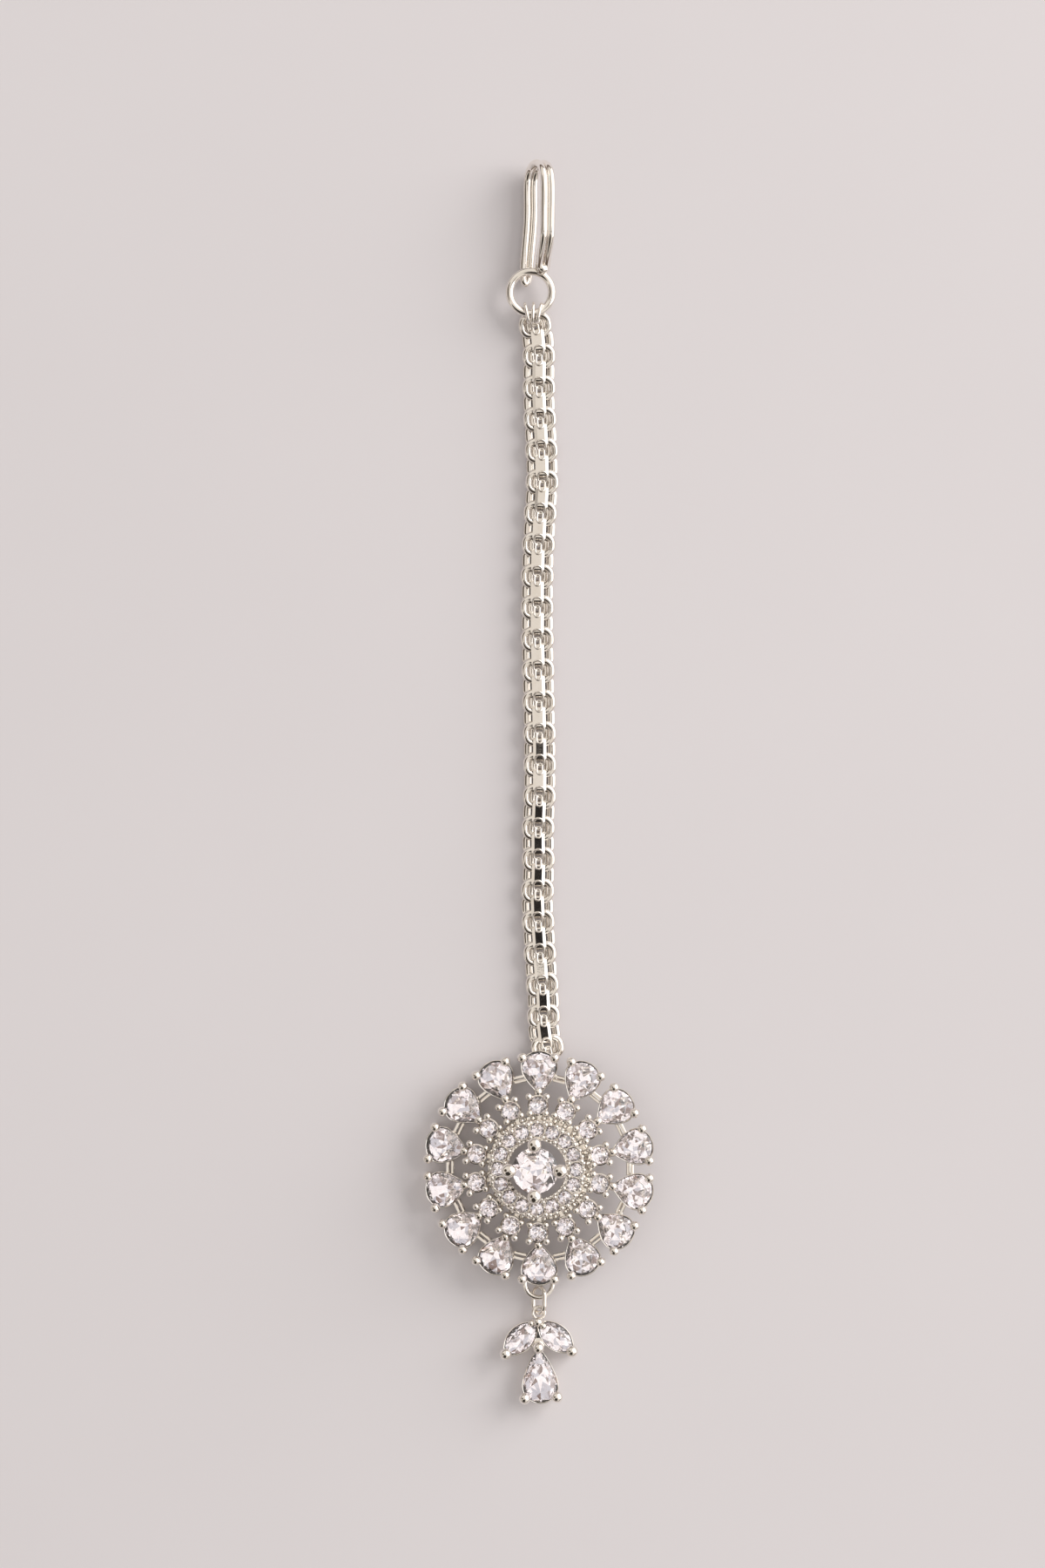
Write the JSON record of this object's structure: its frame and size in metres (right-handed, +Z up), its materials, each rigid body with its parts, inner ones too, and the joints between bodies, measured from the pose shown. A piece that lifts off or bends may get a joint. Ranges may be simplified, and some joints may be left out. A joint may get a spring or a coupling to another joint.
{
  "type": "maang tikka",
  "caption": "Maang tikka, a forehead ornament: wire hair hook, fancy link chain, round tiered medallion of clear stones and a leaf-like stone drop.",
  "frame": {"origin": "middle of the bounding box's bottom, on the surface that the piece lies on", "axes": "+Y runs up the chain from the drop to the hair hook, +X is to the right of a viewer looking down on the stones, +Z points up out of the face of the stones"},
  "size_m": [0.0266, 0.1424, 0.009],
  "materials": {
    "silver_metal": "bright polished silver-tone plating",
    "clear_stone": "colourless faceted crystal, foil-bright"
  },
  "bodies": {
    "root": {"hair_hook": "silver_metal", "chain": "silver_metal", "medallion_frame": "silver_metal", "halo_tier": "silver_metal", "jump_ring": "silver_metal", "bail_link": "silver_metal", "drop_setting": "silver_metal", "centre_stone": "clear_stone", "pear_stone_01": "clear_stone", "pear_stone_02": "clear_stone", "pear_stone_03": "clear_stone", "pear_stone_04": "clear_stone", "pear_stone_05": "clear_stone", "pear_stone_06": "clear_stone", "pear_stone_07": "clear_stone", "pear_stone_08": "clear_stone", "pear_stone_09": "clear_stone", "pear_stone_10": "clear_stone", "pear_stone_11": "clear_stone", "pear_stone_12": "clear_stone", "pear_stone_13": "clear_stone", "pear_stone_14": "clear_stone", "round_stone_01": "clear_stone", "round_stone_02": "clear_stone", "round_stone_03": "clear_stone", "round_stone_04": "clear_stone", "round_stone_05": "clear_stone", "round_stone_06": "clear_stone", "round_stone_07": "clear_stone", "round_stone_08": "clear_stone", "round_stone_09": "clear_stone", "round_stone_10": "clear_stone", "round_stone_11": "clear_stone", "round_stone_12": "clear_stone", "round_stone_13": "clear_stone", "round_stone_14": "clear_stone", "marquise_left": "clear_stone", "marquise_right": "clear_stone", "drop_pear_stone": "clear_stone"}
  },
  "joints": []
}
